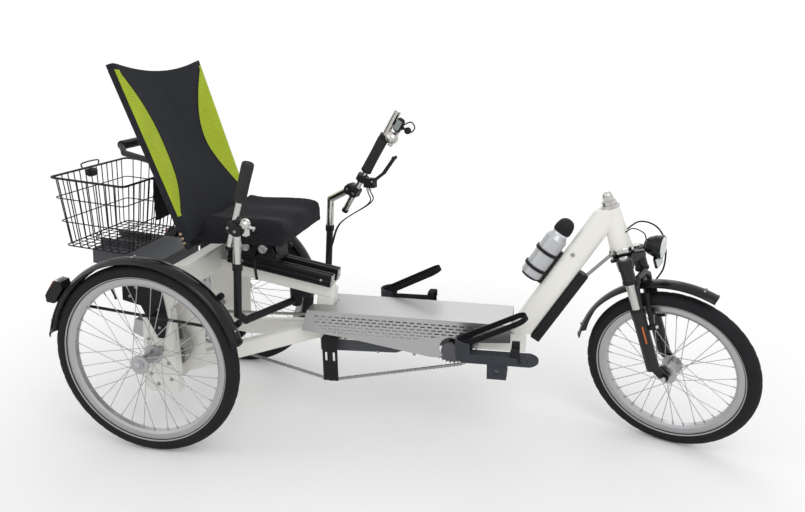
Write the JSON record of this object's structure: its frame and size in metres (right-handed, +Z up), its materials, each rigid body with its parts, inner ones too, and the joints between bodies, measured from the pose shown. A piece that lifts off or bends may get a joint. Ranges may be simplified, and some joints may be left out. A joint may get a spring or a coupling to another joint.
{
  "type": "therapy tricycle",
  "caption": "Semi-recumbent therapy tricycle with a low step-through frame, reclining seat, rear basket, foot plates with straps and upright handles",
  "frame": {"origin": "on the ground, under the middle of the overall length, on the centre plane", "axes": "X forward to the steered wheel, Y to the rider's left, Z up"},
  "size_m": [2.1131, 0.77, 1.1524],
  "materials": {
    "frame_white": "gloss",
    "satin_black": "satin",
    "gloss_black": "gloss",
    "deck_grey": "satin",
    "lamp_red": "gloss",
    "bare_metal": "satin",
    "black_plastic": "matt",
    "cushion_cloth": "matt",
    "back_cloth": "matt",
    "cover_metal": "brushed",
    "steel": "satin",
    "bottle_silver": "gloss",
    "fork_black": "gloss",
    "chrome": "polished",
    "lamp_black": "gloss",
    "tyre_rubber": "matt",
    "foam": "matt",
    "crank_grey": "satin",
    "foot_grey": "matt",
    "strap_black": "matt"
  },
  "bodies": {
    "frame": {"front_frame": "frame_white", "main_beam": "frame_white", "seat_mast": "frame_white", "cross_beam": "frame_white", "axle_plate_right": "frame_white", "axle_plate_left": "frame_white", "side_plate_right": "satin_black", "side_plate_left": "satin_black", "rear_deck": "deck_grey", "basket": "satin_black", "rear_mudguard_right": "gloss_black", "rear_mudguard_left": "gloss_black", "tail_light_right": "lamp_red", "tail_light_left": "lamp_red", "caliper_right": "bare_metal", "caliper_left": "bare_metal", "seat_rail": "satin_black", "seat_carriage": "black_plastic", "seat_cushion": "cushion_cloth", "back_frame": "satin_black", "back_fabric": "back_cloth", "deck_cover": "cover_metal", "beam_guard": "deck_grey", "chain_tensioner": "black_plastic", "chain": "steel", "bottle": "bottle_silver", "bottle_cage": "black_plastic", "rod_channel": "black_plastic", "bar_bracket": "satin_black"},
    "rear_drive": {"axle_drive": "bare_metal"},
    "steering": {"fork": "fork_black", "headset_cap": "chrome", "front_mudguard": "gloss_black", "headlamp": "lamp_black", "front_brake": "satin_black"},
    "rod": {"tie_rod": "steel"},
    "front_wheel_body": {"front_tyre": "tyre_rubber", "front_wheel": "bare_metal"},
    "rear_wheel_right_body": {"rear_tyre_right": "tyre_rubber", "rear_wheel_right": "bare_metal", "half_shaft_right": "steel"},
    "rear_wheel_left_body": {"rear_tyre_left": "tyre_rubber", "rear_wheel_left": "bare_metal", "half_shaft_left": "steel"},
    "steering_bar": {"handlebar": "satin_black", "grips": "foam", "hand_controls": "black_plastic"},
    "crank": {"crankset": "crank_grey"},
    "pedal_right": {"foot_plate_right": "foot_grey", "foot_straps_right": "strap_black"},
    "pedal_left": {"foot_plate_left": "foot_grey", "foot_straps_left": "strap_black"}
  },
  "joints": [
    {"name": "crank_turn", "type": "hinge", "parent": "frame", "child": "crank", "pos_m": [0.17889, 0, 0.296], "axis": [0, 1, 0], "continuous": true},
    {"name": "rear_drive_turn", "type": "hinge", "parent": "frame", "child": "rear_drive", "pos_m": [-0.70611, 0, 0.3], "axis": [0, 1, 0], "continuous": true},
    {"name": "pedal_right_turn", "type": "hinge", "parent": "crank", "child": "pedal_right", "pos_m": [0.32777, -0.15, 0.27772], "axis": [0, 1, 0], "continuous": true},
    {"name": "pedal_left_turn", "type": "hinge", "parent": "crank", "child": "pedal_left", "pos_m": [0.03001, 0.15, 0.31428], "axis": [0, 1, 0], "continuous": true},
    {"name": "rear_wheel_right_turn", "type": "hinge", "parent": "frame", "child": "rear_wheel_right_body", "pos_m": [-0.70611, -0.341, 0.3], "axis": [0, 1, 0], "continuous": true},
    {"name": "rear_wheel_left_turn", "type": "hinge", "parent": "frame", "child": "rear_wheel_left_body", "pos_m": [-0.70611, 0.341, 0.3], "axis": [0, 1, 0], "continuous": true},
    {"name": "fork_turn", "type": "hinge", "parent": "frame", "child": "steering", "pos_m": [0.64998, 0, 0.66433], "axis": [-0.3024, 0, 0.9532], "range_deg": [-16, 64]},
    {"name": "front_wheel_turn", "type": "hinge", "parent": "steering", "child": "front_wheel_body", "pos_m": [0.8261, -0.01871, 0.2481], "axis": [0.3877, 0.9135, 0.123], "continuous": true},
    {"name": "bar_turn", "type": "hinge", "parent": "frame", "child": "steering_bar", "pos_m": [-0.34611, 0, 0.396], "axis": [0, 0, 1], "range_deg": [-9.53, 37.53]},
    {"name": "rod_slide", "type": "slide", "parent": "frame", "child": "rod", "axis": [0.6329, -0.2449, 0.7345], "range_m": [-0.01116, 0.04314]}
  ],
  "couplings": [
    {"joint": "rear_drive_turn", "follows": "crank_turn", "ratio": 1.7},
    {"joint": "pedal_right_turn", "follows": "crank_turn", "ratio": -1},
    {"joint": "pedal_left_turn", "follows": "crank_turn", "ratio": -1},
    {"joint": "bar_turn", "follows": "fork_turn", "ratio": 0.5833},
    {"joint": "rod_slide", "follows": "fork_turn", "m_per_rad": 0.03817}
  ]
}
